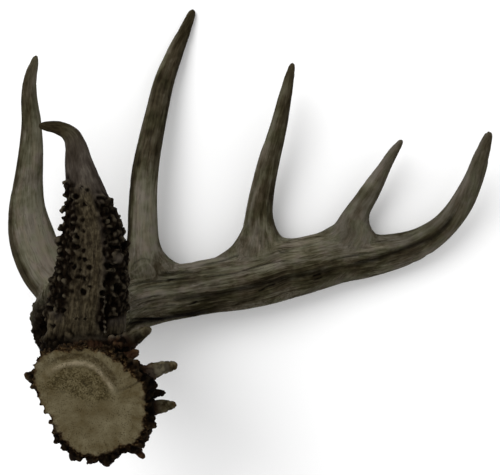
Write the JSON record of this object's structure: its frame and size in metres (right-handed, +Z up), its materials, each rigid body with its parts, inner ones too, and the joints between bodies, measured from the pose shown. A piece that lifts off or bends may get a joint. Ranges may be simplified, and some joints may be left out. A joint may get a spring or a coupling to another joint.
{
  "type": "deer antler",
  "caption": "Cast deer antler lying on its outer side: a beaded burr with its pale seal, a curved main beam and tapering tines.",
  "frame": {"origin": "middle of the antler's box, on the surface that it lies on", "axes": "+X along the main beam, from the burr towards its tip; +Y towards the tips of the tines; +Z up from the surface, on the side of the burr"},
  "size_m": [0.331, 0.298, 0.1758],
  "materials": {
    "bone": "satin grey-brown antler bone, grooved along the beam and pearled and darker round its base, with a pale seal"
  },
  "bodies": {
    "root": {"main_beam": "bone", "brow_tine": "bone", "second_tine": "bone", "third_tine": "bone", "fourth_tine": "bone", "fifth_tine": "bone"}
  },
  "joints": []
}
